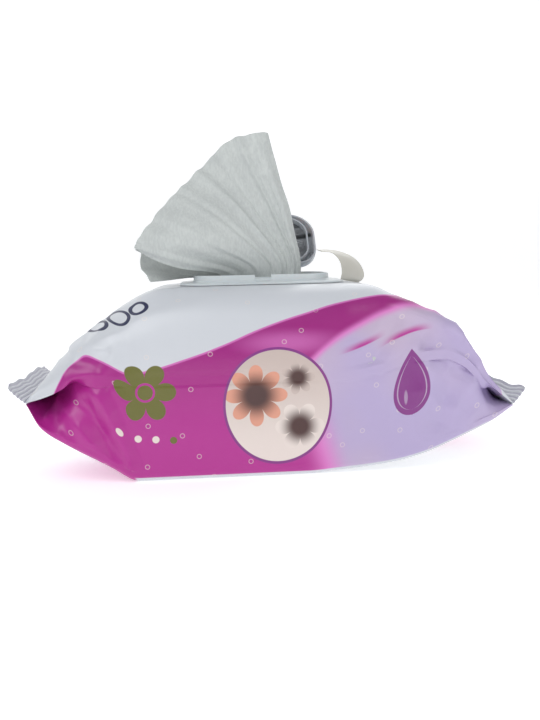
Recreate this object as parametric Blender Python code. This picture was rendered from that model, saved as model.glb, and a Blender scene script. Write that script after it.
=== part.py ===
"""Wet wipes pack: film wrapper, stack of wipes, one pulled wipe, flip-lid frame, lid and peeled label.

Units are metres, +Z is up and the pack stands on Z = 0. +X runs along its length and -Y is its front.
"""

import math
from dataclasses import dataclass

import bmesh
import bpy
from mathutils import Vector

# Film wrapper
HALF_DEPTH = 0.055  # from the centre line to the front of the pack
TOP_Z = 0.105  # flat top of the film under the frame, on the centre line
CROWN_Z = 0.1075  # height that the top would have if nothing flattened it
TOP_TILT = math.radians(3.0)  # the top leans to the front by this much
TILT_FROM_Z, TILT_FULL_Z = 0.050, 0.1030
SHOULDER_POWER = 3.2  # squareness of the rounded shoulder at the middle of the pack
END_SHOULDER_POWER = 4.2
FLAT_HALF_LENGTH = 0.071  # flat bottom
TAPER_START = 0.040  # where the top begins to fall towards the ends
TUCK_START = 0.080  # where the side gussets begin
TUCK_DEPTH = 0.040
RIDGE_Z = 0.057  # upper fold of the gusset where it begins
BOTTOM_RADIUS = 0.006
FILM_WALL = 0.0008
SEAL_HALF = 0.0012  # half of the pressed layers at an end seal
LIP_HALF = 0.0004
CAVITY_HALF_LENGTH = 0.115
FIN_END_X = 0.1385
FIN_RISE = 0.009
FIN_HALF = 0.0008
SLOT_LENGTH, SLOT_WIDTH = 0.058, 0.022

# Stack of folded wipes
STACK_HALF_LENGTH = 0.0735
STACK_GAP = 0.0005
STACK_EDGE = 0.0025

# Frame, in the plane of the leaning top: height 0 is the top of the film
GAP = 0.0003  # between touching pieces
FLANGE = (0.096, 0.056, 0.016)  # width, depth, corner radius
FLANGE_HEIGHT = 0.0015
RIM = (0.080, 0.044, 0.014)
RIM_HEIGHT = 0.0055
RIM_WALL = 0.0015
DECK_HEIGHT = 0.0023
WINDOW = (0.062, 0.030, 0.009)
LIP_WALL = 0.0012
LIP_HEIGHT = 0.0040
NOTCH_HALF = 0.0047
NOTCH_FLOOR = 0.0034
CATCH_HALF = 0.0042

# Hinge and lid
HINGE_Y = 0.0232
HINGE_HEIGHT = 0.0062
HINGE_X = 0.018
LEAF_HALF = 0.008
LEAF_THICK = 0.00075
LEAF_CLEAR = 0.00015
LEAF_END = 0.0002
LID_OPEN = math.radians(128.0)
LID_TOP = 0.0090
LID_WALL = 0.0012
LID_CHAMFER = 0.0012
SEAL_RING_WALL = 0.0012
SEAL_RING_GAP = 0.0006
SEAL_RING_BOTTOM = 0.0030

# Pulled wipe and peeled label
WIPE_THICK = 0.0008
LABEL_THICK = 0.0005

FILM_STATIONS = (0.0, 0.018, 0.036, 0.050, 0.060, 0.071, 0.076, 0.080, 0.086, 0.092, 0.098, 0.104)
NEAR_END = (0.45, 0.75, 1.0)  # the last stations, as shares of the way to the end
CORNER_STEPS = 6
SHOULDER_STEPS = 10
FOLD_STEPS = 4


@dataclass(frozen=True)
class PackEnd:
    """Where one end of the film is sealed, and how full it is."""

    seal_x: float
    seal_z: float
    fullness: float


LEFT_END = PackEnd(0.1275, 0.0445, 2.1)
RIGHT_END = PackEnd(0.1305, 0.0380, 2.0)


def clear_scene() -> None:
    """Remove every object that the scene starts with."""
    for obj in list(bpy.data.objects):
        bpy.data.objects.remove(obj, do_unlink=True)


def finish(name: str, colour: tuple, roughness: float) -> bpy.types.Material:
    """Return a Principled material."""
    material = bpy.data.materials.new(name)
    material.use_nodes = True
    shader = material.node_tree.nodes["Principled BSDF"]
    shader.inputs["Base Color"].default_value = (*colour, 1.0)
    shader.inputs["Roughness"].default_value = roughness
    shader.inputs["Metallic"].default_value = 0.0
    return material


def add_object(name: str, bm: bmesh.types.BMesh, material=None) -> bpy.types.Object:
    """Turn a bmesh into an object, with its faces pointing out."""
    bmesh.ops.recalc_face_normals(bm, faces=bm.faces)
    mesh = bpy.data.meshes.new(name)
    bm.to_mesh(mesh)
    bm.free()
    obj = bpy.data.objects.new(name, mesh)
    bpy.context.scene.collection.objects.link(obj)
    if material:
        mesh.materials.append(material)
    return obj


def boolean(target: bpy.types.Object, tool: bpy.types.Object, operation: str) -> None:
    """Join a tool to a piece, or cut it away, and hide the tool."""
    modifier = target.modifiers.new(tool.name, "BOOLEAN")
    modifier.operation = operation
    modifier.solver = "EXACT"
    modifier.object = tool
    tool.hide_render = True
    tool.display_type = "WIRE"


def clamp(value: float) -> float:
    """Keep a share between 0 and 1."""
    return min(max(value, 0.0), 1.0)


def mix(start: float, end: float, share: float) -> float:
    """Go from one value to another."""
    return start + (end - start) * share


def smooth(share: float) -> float:
    """Ease a share in and out."""
    share = clamp(share)
    return share * share * (3.0 - 2.0 * share)


def tube(rings: list) -> bmesh.types.BMesh:
    """Skin a row of closed rings with equal numbers of points, and cap both ends."""
    bm = bmesh.new()
    rows, columns = len(rings), len(rings[0])
    bmesh.ops.create_grid(bm, x_segments=columns, y_segments=rows - 1, size=1.0)
    bm.verts.ensure_lookup_table()
    for index, vert in enumerate(bm.verts):
        row, column = divmod(index, columns + 1)
        vert.co = rings[row][column % columns]
    bmesh.ops.remove_doubles(bm, verts=bm.verts, dist=1e-7)
    bmesh.ops.holes_fill(bm, edges=[edge for edge in bm.edges if edge.is_boundary])
    return bm


def sheet(rows: list, thickness: float) -> bmesh.types.BMesh:
    """Make a thin closed sheet about a grid of points."""
    bm = bmesh.new()
    columns = len(rows[0])
    bmesh.ops.create_grid(bm, x_segments=columns - 1, y_segments=len(rows) - 1, size=1.0)
    bm.verts.ensure_lookup_table()
    for index, vert in enumerate(bm.verts):
        row, column = divmod(index, columns)
        vert.co = rows[row][column]
    bm.normal_update()
    bmesh.ops.solidify(bm, geom=bm.faces[:], thickness=thickness)
    return bm


def box(low: tuple, high: tuple) -> bmesh.types.BMesh:
    """Make a box between two corners."""
    bm = bmesh.new()
    bmesh.ops.create_cube(bm, size=1.0)
    size = Vector(high) - Vector(low)
    middle = (Vector(high) + Vector(low)) / 2
    bmesh.ops.scale(bm, vec=size, verts=bm.verts)
    bmesh.ops.translate(bm, vec=middle, verts=bm.verts)
    return bm


def rounded_ring(width: float, depth: float, radius: float, height: float) -> list:
    """Points of a rounded rectangle at one height."""
    points = []
    corners = ((1, 1, 0), (-1, 1, 90), (-1, -1, 180), (1, -1, 270))
    for side_x, side_y, start in corners:
        centre_x = side_x * (width / 2 - radius)
        centre_y = side_y * (depth / 2 - radius)
        for step in range(CORNER_STEPS + 1):
            angle = math.radians(start + 90.0 * step / CORNER_STEPS)
            x = centre_x + radius * math.cos(angle)
            y = centre_y + radius * math.sin(angle)
            points.append(Vector((x, y, height)))
    return points


def slab(outline: tuple, low: float, high: float, chamfer=0.0, shift=Vector()) -> bmesh.types.BMesh:
    """Make a rounded plate, with an optional chamfer round its top edge."""
    width, depth, radius = outline
    rings = [rounded_ring(width, depth, radius, low)]
    if chamfer:
        rings.append(rounded_ring(width, depth, radius, high - chamfer))
        width, depth, radius = width - 2 * chamfer, depth - 2 * chamfer, radius - chamfer
    rings.append(rounded_ring(width, depth, radius, high))
    return tube([[point + shift for point in ring] for ring in rings])


def grown(outline: tuple, by: float) -> tuple:
    """Return a rounded outline that is larger all round."""
    width, depth, radius = outline
    return width + 2 * by, depth + 2 * by, radius + by


def lean(x: float, y: float, z: float) -> Vector:
    """Lean the top of the pack to the front."""
    share = smooth((z - TILT_FROM_Z) / (TILT_FULL_Z - TILT_FROM_Z))
    return Vector((x, y, z + math.tan(TOP_TILT) * y * share))


def film_ring(x: float, inset: float) -> list:
    """Points of the film's section at one place along the pack.

    The front half runs from top centre over the shoulder to the gusset's upper fold, in to its
    valley, out to the lower fold, round the bottom edge and to bottom centre. The back mirrors it.
    """
    end = LEFT_END if x < 0 else RIGHT_END
    reach = abs(x)
    taper = clamp((reach - TAPER_START) / (end.seal_x - TAPER_START))
    tuck = clamp((reach - TUCK_START) / (end.seal_x - TUCK_START))
    lift = clamp((reach - FLAT_HALF_LENGTH) / (end.seal_x - FLAT_HALF_LENGTH))
    away = inset * min(1.0, 5.0 * tuck)

    half = HALF_DEPTH - inset
    power = mix(SHOULDER_POWER, END_SHOULDER_POWER, tuck)
    seal_top = end.seal_z + SEAL_HALF
    crown = seal_top + (CROWN_Z - seal_top) * (1.0 - taper**end.fullness) - inset
    floor = (end.seal_z - SEAL_HALF) * (0.62 * lift + 0.38 * lift**6)
    ridge = mix(RIDGE_Z, end.seal_z + LIP_HALF, tuck)
    valley = ridge - mix(0.006, LIP_HALF, tuck)
    corner = floor + mix(BOTTOM_RADIUS, SEAL_HALF - LIP_HALF, tuck)
    corner_width = mix(BOTTOM_RADIUS, 0.003, tuck) - inset
    depth = TUCK_DEPTH * tuck**1.2
    floor += inset

    half_ring = []
    for step in range(SHOULDER_STEPS):
        angle = math.pi / 2 * step / SHOULDER_STEPS
        y = -half * math.sin(angle) ** (2 / power)
        z = ridge + away + (crown - ridge - away) * math.cos(angle) ** (2 / power)
        half_ring.append((y, min(z, TOP_Z - inset)))
    for step in range(FOLD_STEPS):
        share = step / FOLD_STEPS
        half_ring.append((-half + (depth + away) * share, mix(ridge + away, valley, share)))
    for step in range(FOLD_STEPS):
        share = step / FOLD_STEPS
        half_ring.append((-half + (depth + away) * (1 - share), mix(valley, corner - away, share)))
    for step in range(FOLD_STEPS):
        angle = math.pi / 2 * step / FOLD_STEPS
        y = -half + corner_width * (1 - math.cos(angle))
        z = floor + (corner - away - floor) * (1 - math.sin(angle))
        half_ring.append((y, z))
    half_ring.append((-half + corner_width, floor))
    half_ring.append((-0.5 * half, floor))
    half_ring.append((0.0, floor))
    back = [(-y, z) for y, z in reversed(half_ring[1:-1])]
    return [lean(x, y, z) for y, z in half_ring + back]


def film_loft(inset: float, left_reach: float, right_reach: float) -> bmesh.types.BMesh:
    """Skin the film's section along the pack, out to a reach on each side."""
    last = FILM_STATIONS[-1]
    left = [-x for x in FILM_STATIONS[1:]] + [-mix(last, left_reach, share) for share in NEAR_END]
    right = list(FILM_STATIONS) + [mix(last, right_reach, share) for share in NEAR_END]
    return tube([film_ring(x, inset) for x in left[::-1] + right])


def fin(end: PackEnd, side: int) -> bmesh.types.BMesh:
    """Make one end seal, which flares up from the seal line to its cut edge."""
    rows = []
    for height, inner in ((FIN_HALF, 0.0), (-FIN_HALF, 0.0)):
        start = Vector((side * (end.seal_x - 0.0008), 0.0, end.seal_z + height))
        bend = Vector((side * (end.seal_x + 0.002), 0.0, end.seal_z + 0.0008 + height))
        tip = Vector((side * FIN_END_X, 0.0, end.seal_z + FIN_RISE + height))
        rows.append((start, bend, tip))
    outline = list(rows[0]) + list(reversed(rows[1]))
    front = [point + Vector((0.0, -HALF_DEPTH, 0.0)) for point in outline]
    back = [point + Vector((0.0, HALF_DEPTH, 0.0)) for point in outline]
    return tube([front, back])


def build_film() -> bpy.types.Object:
    """Film wrapper: one folded web with a slot under the frame and a flat seal at each end."""
    film = add_object(
        "film_wrapper",
        film_loft(0.0, LEFT_END.seal_x, RIGHT_END.seal_x),
        finish("printed_film", (0.55, 0.06, 0.42), 0.3),
    )
    cavity = film_loft(FILM_WALL, CAVITY_HALF_LENGTH, CAVITY_HALF_LENGTH)
    boolean(film, add_object("cut_cavity", cavity), "DIFFERENCE")
    boolean(film, add_object("left_fin", fin(LEFT_END, -1)), "UNION")
    boolean(film, add_object("right_fin", fin(RIGHT_END, 1)), "UNION")
    slot = slab((SLOT_LENGTH, SLOT_WIDTH, SLOT_WIDTH * 0.4), TOP_Z - 0.006, TOP_Z + 0.006)
    boolean(film, add_object("cut_slot", slot), "DIFFERENCE")
    return film


def build_stack() -> bpy.types.Object:
    """Stack of folded wipes, in the shape that the film presses it to."""
    inset = FILM_WALL + STACK_GAP
    places = (-STACK_HALF_LENGTH, -STACK_HALF_LENGTH + STACK_EDGE, -0.05, -0.02)
    rings = []
    for x in places + tuple(-x for x in reversed(places)):
        edge = STACK_EDGE if abs(x) == STACK_HALF_LENGTH else 0.0
        rings.append(film_ring(x, inset + edge))
    return add_object("wipe_stack", tube(rings), finish("folded_nonwoven", (0.80, 0.81, 0.80), 0.8))


def build_frame(plane: bpy.types.Object) -> bpy.types.Object:
    """Lid frame: flange on the film, raised rim, deck with a window, catch and two hinge leaves."""
    plastic = finish("white_frame_plastic", (0.78, 0.80, 0.80), 0.3)
    frame = add_object("lid_frame", slab(FLANGE, GAP, FLANGE_HEIGHT, 0.0005), plastic)
    rim = slab(RIM, FLANGE_HEIGHT - 0.0005, RIM_HEIGHT, 0.0004)
    well = slab(grown(RIM, -RIM_WALL), DECK_HEIGHT, RIM_HEIGHT + 0.002)
    lip = slab(grown(WINDOW, LIP_WALL), DECK_HEIGHT - 0.0003, LIP_HEIGHT, 0.0003)
    window = slab(WINDOW, -0.002, RIM_HEIGHT + 0.002)
    rim_front = -RIM[1] / 2
    notch = box((-NOTCH_HALF, rim_front - 0.001, NOTCH_FLOOR), (NOTCH_HALF, rim_front + 0.0025, 0.008))
    catch = box((-CATCH_HALF, rim_front - 0.0006, 0.0021), (CATCH_HALF, rim_front + 0.001, 0.0031))
    for name, mesh, operation in (
        ("rim", rim, "UNION"),
        ("cut_well", well, "DIFFERENCE"),
        ("window_lip", lip, "UNION"),
        ("cut_window", window, "DIFFERENCE"),
        ("cut_notch", notch, "DIFFERENCE"),
        ("catch", catch, "UNION"),
    ):
        tool = add_object(name, mesh)
        tool.parent = plane
        boolean(frame, tool, operation)
    for side in (-1, 1):
        low = (side * HINGE_X - LEAF_HALF, RIM[1] / 2 - 0.0010, HINGE_HEIGHT - LEAF_CLEAR - LEAF_THICK)
        high = (side * HINGE_X + LEAF_HALF, HINGE_Y - LEAF_END, HINGE_HEIGHT - LEAF_CLEAR)
        tool = add_object(f"frame_leaf_{side + 1}", box(low, high))
        tool.parent = plane
        boolean(frame, tool, "UNION")
    frame.parent = plane
    return frame


def build_lid(hinge: bpy.types.Object) -> bpy.types.Object:
    """Flip lid, made closed about its hinge line: skirt, seal ring, thumb tab and two hinge leaves."""
    to_hinge = Vector((0.0, -HINGE_Y, -HINGE_HEIGHT))
    outline = grown(RIM, -RIM_WALL - GAP)
    under = LID_TOP - LID_WALL
    ring_inner = grown(WINDOW, LIP_WALL + SEAL_RING_GAP)
    lid = add_object(
        "flip_lid",
        slab(outline, DECK_HEIGHT + GAP, LID_TOP, LID_CHAMFER, to_hinge),
        finish("white_lid_plastic", (0.78, 0.80, 0.80), 0.3),
    )
    hollow = slab(grown(outline, -LID_WALL), DECK_HEIGHT - 0.002, under, 0.0, to_hinge)
    ring = slab(grown(ring_inner, SEAL_RING_WALL), SEAL_RING_BOTTOM, under + 0.0004, 0.0, to_hinge)
    ring_hollow = slab(ring_inner, SEAL_RING_BOTTOM - 0.001, under, 0.0, to_hinge)
    boolean(lid, add_object("cut_hollow", hollow), "DIFFERENCE")
    ring_piece = add_object("seal_ring", ring)
    boolean(ring_piece, add_object("cut_ring", ring_hollow), "DIFFERENCE")
    boolean(lid, ring_piece, "UNION")
    front = -HINGE_Y - outline[1] / 2
    tab = box((-CATCH_HALF, front - 0.0024, -0.0014), (CATCH_HALF, front + 0.0008, 0.0004))
    boolean(lid, add_object("thumb_tab", tab), "UNION")
    for side in (-1, 1):
        low = (side * HINGE_X - LEAF_HALF, -HINGE_Y + outline[1] / 2 - 0.0008, LEAF_CLEAR)
        high = (side * HINGE_X + LEAF_HALF, -LEAF_END, LEAF_CLEAR + LEAF_THICK)
        boolean(lid, add_object(f"lid_leaf_{side + 1}", box(low, high)), "UNION")
    for obj in [lid] + [modifier.object for modifier in lid.modifiers] + [ring_piece.modifiers[0].object]:
        obj.parent = hinge
    return lid


def curve_point(points: tuple, share: float) -> Vector:
    """Point at a share along a smooth curve through the given points."""
    last = len(points) - 1
    place = clamp(share) * last
    index = min(int(place), last - 1)
    step = place - index
    a, b, c, d = (Vector(points[min(max(index + offset, 0), last)]) for offset in (-1, 0, 1, 2))
    square = 2 * a - 5 * b + 4 * c - d
    cube = 3 * b - a - 3 * c + d
    return 0.5 * (2 * b + (c - a) * step + square * step**2 + cube * step**3)


def build_wipe() -> bpy.types.Object:
    """Pulled wipe: a fan that rises from the slot and falls over the left end of the frame."""
    root = ((-0.025, -0.004, 0.1075), (0.003, -0.003, 0.1045), (0.0235, 0.000, 0.1045))
    waist = ((-0.040, -0.006, 0.1145), (0.001, -0.006, 0.1230), (0.0225, 0.000, 0.1210))
    belly = ((-0.062, -0.012, 0.1180), (-0.018, -0.014, 0.1520), (0.0145, 0.002, 0.1480))
    edge = ((-0.074, -0.006, 0.1250), (-0.040, 0.000, 0.1690), (-0.014, 0.006, 0.1890), (0.005, 0.010, 0.1940))
    rows = []
    for row in range(9):
        rise = row / 8
        points = []
        for column in range(13):
            share = column / 12
            across = [curve_point(line, share) for line in (root, waist, belly, edge)]
            points.append(curve_point(tuple(across), rise))
        rows.append(points)
    return add_object("pulled_wipe", sheet(rows, WIPE_THICK), finish("wipe_nonwoven", (0.80, 0.82, 0.81), 0.8))


def build_label() -> bpy.types.Object:
    """Peeled label: a curled strip with its foot on the film beside the frame's right end."""
    front = (
        (0.0495, -0.009, 0.1056),
        (0.0502, -0.009, 0.1095),
        (0.0496, -0.009, 0.1140),
        (0.0475, -0.009, 0.1178),
        (0.0436, -0.0085, 0.1204),
        (0.0392, -0.008, 0.1209),
    )
    back = (
        (0.0640, 0.010, 0.1053),
        (0.0675, 0.010, 0.1090),
        (0.0655, 0.010, 0.1142),
        (0.0590, 0.010, 0.1190),
        (0.0490, 0.009, 0.1222),
        (0.0392, 0.008, 0.1226),
    )
    rows = []
    for row in range(17):
        along = row / 16
        start, end = curve_point(front, along), curve_point(back, along)
        rows.append([start.lerp(end, column / 4) for column in range(5)])
    return add_object("reseal_label", sheet(rows, LABEL_THICK), finish("label_film", (0.78, 0.77, 0.72), 0.4))


def smooth_shading(obj: bpy.types.Object) -> None:
    """Shade a rounded piece smooth, and keep its edges sharp."""
    obj.data.shade_smooth()
    obj.data.set_sharp_from_angle(angle=math.radians(35.0))


def main() -> None:
    """Build the pack."""
    clear_scene()
    plane = bpy.data.objects.new("dispenser_plane", None)
    plane.location = (0.0, 0.0, TOP_Z)
    plane.rotation_euler.x = TOP_TILT
    hinge = bpy.data.objects.new("hinge_line", None)
    hinge.location = (0.0, HINGE_Y, HINGE_HEIGHT)
    hinge.rotation_euler.x = -LID_OPEN
    hinge.parent = plane
    for empty in (plane, hinge):
        bpy.context.scene.collection.objects.link(empty)

    pieces = [
        build_film(),
        build_stack(),
        build_frame(plane),
        build_lid(hinge),
        build_wipe(),
        build_label(),
    ]
    for piece in pieces:
        smooth_shading(piece)


main()
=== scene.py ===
"""Wet wipes pack: the looks of its film, wipes, frame, lid, hinge web and peeled label.

Units are metres, +Z is up, +X runs along the pack and -Y is its front. Everything is placed from the
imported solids, which stay as the collision and mass of the same pieces.
"""

import logging
import math
from collections.abc import Callable, Sequence
from dataclasses import dataclass, field
from enum import Enum

import bmesh
import bpy
import numpy as np
from mathutils import Matrix, Vector, noise

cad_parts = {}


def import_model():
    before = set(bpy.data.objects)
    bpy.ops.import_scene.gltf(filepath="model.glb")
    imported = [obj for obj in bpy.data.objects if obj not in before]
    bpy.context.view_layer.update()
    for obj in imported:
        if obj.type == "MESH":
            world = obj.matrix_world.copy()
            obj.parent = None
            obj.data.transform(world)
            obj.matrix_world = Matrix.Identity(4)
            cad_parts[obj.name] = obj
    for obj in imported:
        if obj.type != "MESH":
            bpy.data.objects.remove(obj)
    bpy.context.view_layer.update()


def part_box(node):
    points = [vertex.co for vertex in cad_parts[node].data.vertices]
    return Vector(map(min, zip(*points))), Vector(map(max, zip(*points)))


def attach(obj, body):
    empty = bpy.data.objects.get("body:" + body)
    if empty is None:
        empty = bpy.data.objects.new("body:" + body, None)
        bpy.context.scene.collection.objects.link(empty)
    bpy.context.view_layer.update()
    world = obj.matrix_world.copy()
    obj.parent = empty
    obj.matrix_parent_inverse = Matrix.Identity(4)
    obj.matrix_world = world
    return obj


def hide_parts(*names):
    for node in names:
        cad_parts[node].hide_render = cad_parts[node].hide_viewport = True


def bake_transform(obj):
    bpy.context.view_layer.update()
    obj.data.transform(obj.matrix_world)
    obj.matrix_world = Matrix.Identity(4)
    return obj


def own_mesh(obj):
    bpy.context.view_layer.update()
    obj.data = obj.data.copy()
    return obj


LOG = logging.getLogger("wipes_pack")
MM = 0.001
BRIGHTNESS = 1.42  # how much lighter a finish is than it looks in the dim studio
TOP_TILT = math.radians(3.0)  # the top and the frame lean to the front
LID_OPEN = math.radians(128.0)

Socket = bpy.types.NodeSocket
Value = float | Socket
Point = tuple[float, float]


class Body(Enum):
    """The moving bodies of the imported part."""

    PACK = "pack"
    LID = "lid"


class Slot(Enum):
    """The record's material slots."""

    FILM = "printed_film"
    STACK = "folded_wipes"
    WIPE = "wipe_sheet"
    FRAME = "frame_plastic"
    LID = "lid_plastic"
    LABEL = "label_film"


# ---------------------------------------------------------------- helpers


def clamp(value: np.ndarray) -> np.ndarray:
    """Keep shares between 0 and 1."""
    return np.clip(value, 0.0, 1.0)


def smooth(value: np.ndarray) -> np.ndarray:
    """Ease shares in and out."""
    share = clamp(value)
    return share * share * (3.0 - 2.0 * share)


def mix(start: np.ndarray, end: np.ndarray, share: np.ndarray) -> np.ndarray:
    """Go from one value to another."""
    return start + (end - start) * share


def tint(red: int, green: int, blue: int, gain: float = BRIGHTNESS) -> tuple[float, float, float, float]:
    """Turn a screen colour into a surface colour.

    Args:
        red, green, blue: Screen colour from 0 to 255.
        gain: How much lighter the surface is than the screen colour.

    Returns:
        Linear colour with an alpha of 1.
    """
    linear = [min(((c / 255 + 0.055) / 1.055) ** 2.4 * gain, 0.95) for c in (red, green, blue)]
    return (*linear, 1.0)


@dataclass(frozen=True)
class Profile:
    """A smooth curve through a few (place, value) points in millimetres, with no overshoot."""

    points: tuple[Point, ...]

    def at(self, place: np.ndarray) -> np.ndarray:
        """Read the curve.

        Args:
            place: Places in metres.

        Returns:
            Values in metres.
        """
        xs, ys = np.array(self.points, float).T * MM
        slope = np.diff(ys) / np.diff(xs)
        tangent = np.zeros(len(xs))
        tangent[0], tangent[-1] = slope[0], slope[-1]
        before, after = slope[:-1], slope[1:]
        same = before * after > 0
        middle = tangent[1:-1]
        middle[same] = 2 * before[same] * after[same] / (before[same] + after[same])
        place = np.clip(np.asarray(place, float), xs[0], xs[-1])
        index = np.clip(np.searchsorted(xs, place) - 1, 0, len(xs) - 2)
        step = xs[index + 1] - xs[index]
        t = (place - xs[index]) / step
        near = (1 + 2 * t) * (1 - t) ** 2 * ys[index] + t * (1 - t) ** 2 * step * tangent[index]
        far = t * t * (3 - 2 * t) * ys[index + 1] + t * t * (t - 1) * step * tangent[index + 1]
        return near + far


def grid_object(name: str, points: np.ndarray, uv: np.ndarray | None = None) -> bpy.types.Object:
    """Make a quad grid and place its points.

    Args:
        name: Name of the piece.
        points: Points as rows, columns, 3.
        uv: Surface coordinates as rows, columns, 2, in metres.

    Returns:
        The object, in the scene.
    """
    rows, columns = points.shape[:2]
    bm = bmesh.new()
    bmesh.ops.create_grid(bm, x_segments=columns - 1, y_segments=rows - 1, size=1.0)
    mesh = bpy.data.meshes.new(name)
    bm.to_mesh(mesh)
    bm.free()
    mesh.vertices.foreach_set("co", points.reshape(-1).astype(np.float32))
    if uv is not None:
        layer = mesh.uv_layers.new(name="surface")
        corner = np.empty(len(mesh.loops), np.int32)
        mesh.loops.foreach_get("vertex_index", corner)
        layer.data.foreach_set("uv", uv.reshape(-1, 2)[corner].reshape(-1).astype(np.float32))
    obj = bpy.data.objects.new(name, mesh)
    bpy.context.scene.collection.objects.link(obj)
    return obj


def edit(obj: bpy.types.Object, work: Callable[[bmesh.types.BMesh], None]) -> None:
    """Change an object's mesh with bmesh operators."""
    bm = bmesh.new()
    bm.from_mesh(obj.data)
    work(bm)
    bm.to_mesh(obj.data)
    bm.free()
    obj.data.update()


def shade(obj: bpy.types.Object, angle: float = 40.0) -> None:
    """Shade a piece smooth, with sharp edges past an angle in degrees."""
    obj.data.shade_smooth()
    obj.data.set_sharp_from_angle(angle=math.radians(angle))


def settle(obj: bpy.types.Object) -> None:
    """Apply the modifiers and the place of an object, so that it sits at the origin."""
    bpy.context.view_layer.update()
    graph = bpy.context.evaluated_depsgraph_get()
    mesh = bpy.data.meshes.new_from_object(obj.evaluated_get(graph))
    mesh.transform(obj.matrix_world)
    obj.modifiers.clear()
    obj.data = mesh
    obj.parent = None
    obj.matrix_world = Matrix.Identity(4)


def dress(obj: bpy.types.Object, material: bpy.types.Material, body: Body) -> None:
    """Give a piece its finish and the body that it moves with."""
    obj.data.materials.clear()
    obj.data.materials.append(material)
    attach(obj, body.value)


def report(obj: bpy.types.Object) -> None:
    """Log a finished piece and its number of faces."""
    LOG.info("%s: %d faces", obj.name, len(obj.data.polygons))


# ---------------------------------------------------------------- finishes


class Graph:
    """Builds the nodes of one material."""

    def __init__(self, name: str) -> None:
        """Start a material with a Principled shader."""
        self.material = bpy.data.materials.new(name)
        self.material.use_nodes = True
        self.nodes = self.material.node_tree.nodes
        self.links = self.material.node_tree.links
        self.shader = self.nodes["Principled BSDF"]

    def feed(self, socket: Socket, value: Value | Sequence[float] | None) -> None:
        """Link a socket, or set its constant."""
        if value is None:
            return
        if isinstance(value, bpy.types.NodeSocket):
            self.links.new(value, socket)
        else:
            socket.default_value = value

    def node(self, kind: str, **settings: object) -> bpy.types.Node:
        """Add a node and set its properties."""
        node = self.nodes.new(kind)
        for name, value in settings.items():
            setattr(node, name, value)
        return node

    def math(self, operation: str, a: Value, b: Value | None = None, c: Value | None = None) -> Socket:
        """Add a Math node and return its result."""
        node = self.node("ShaderNodeMath", operation=operation)
        for socket, value in zip(node.inputs, (a, b, c)):
            self.feed(socket, value)
        return node.outputs[0]

    def step(self, value: Value, low: Value, high: Value) -> Socket:
        """Rise smoothly from 0 at one value to 1 at another."""
        node = self.node("ShaderNodeMapRange", interpolation_type="SMOOTHSTEP")
        self.feed(node.inputs["Value"], value)
        self.feed(node.inputs["From Min"], low)
        self.feed(node.inputs["From Max"], high)
        return node.outputs["Result"]

    def blend(self, share: Value, under: object, over: object) -> Socket:
        """Mix two colours."""
        node = self.node("ShaderNodeMix", data_type="RGBA")
        self.feed(node.inputs[0], share)
        self.feed(node.inputs[6], under)
        self.feed(node.inputs[7], over)
        return node.outputs[2]

    def ramp(self, value: Value, stops: Sequence[tuple[float, tuple]]) -> Socket:
        """Add a Color Ramp with the given stops."""
        node = self.node("ShaderNodeValToRGB")
        elements = node.color_ramp.elements
        while len(elements) < len(stops):
            elements.new(1.0)
        for element, (place, colour) in zip(elements, stops):
            element.position = place
            element.color = colour
        self.feed(node.inputs[0], value)
        return node.outputs[0]

    def curve(self, value: Value, points: Sequence[Point], low: Point, high: Point) -> Socket:
        """Read a drawn curve.

        Args:
            value: Place along the curve.
            points: The curve's (place, value) points.
            low: Least place and value of the curve's own range.
            high: Greatest place and value of that range.

        Returns:
            The curve's value.
        """
        place = self.math("DIVIDE", self.math("SUBTRACT", value, low[0]), high[0] - low[0])
        node = self.node("ShaderNodeFloatCurve")
        drawn = node.mapping.curves[0].points
        while len(drawn) < len(points):
            drawn.new(0.5, 0.5)
        for knot, (x, y) in zip(drawn, points):
            knot.location = ((x - low[0]) / (high[0] - low[0]), (y - low[1]) / (high[1] - low[1]))
        node.mapping.update()
        self.feed(node.inputs["Value"], place)
        return self.math("MULTIPLY_ADD", node.outputs[0], high[1] - low[1], low[1])

    def noise(self, scale: float, detail: float = 2.0, vector: Socket | None = None) -> Socket:
        """Add a Noise texture on Object coordinates, or on the given vector."""
        node = self.node("ShaderNodeTexNoise")
        node.inputs["Scale"].default_value = scale
        node.inputs["Detail"].default_value = detail
        self.feed(node.inputs["Vector"], vector or self.place())
        return node.outputs["Fac"]

    def place(self) -> Socket:
        """Object coordinates in metres."""
        return self.node("ShaderNodeTexCoord").outputs["Object"]

    def surface(self) -> tuple[Socket, Socket]:
        """The piece's own surface coordinates, in millimetres."""
        split = self.node("ShaderNodeSeparateXYZ")
        self.links.new(self.node("ShaderNodeUVMap", uv_map="surface").outputs[0], split.inputs[0])
        return self.math("DIVIDE", split.outputs[0], MM), self.math("DIVIDE", split.outputs[1], MM)

    def bump(self, height: Socket, distance: float, strength: float = 1.0) -> None:
        """Give the surface a relief."""
        node = self.node("ShaderNodeBump")
        node.inputs["Strength"].default_value = strength
        node.inputs["Distance"].default_value = distance
        self.links.new(height, node.inputs["Height"])
        self.links.new(node.outputs[0], self.shader.inputs["Normal"])

    def finish(self, colour: object, roughness: Value, **constants: float) -> bpy.types.Material:
        """Set the shader's own sockets and return the material."""
        self.feed(self.shader.inputs["Base Color"], colour)
        self.feed(self.shader.inputs["Roughness"], roughness)
        for name, value in constants.items():
            self.shader.inputs[name.replace("_", " ").title()].default_value = value
        return self.material


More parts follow.
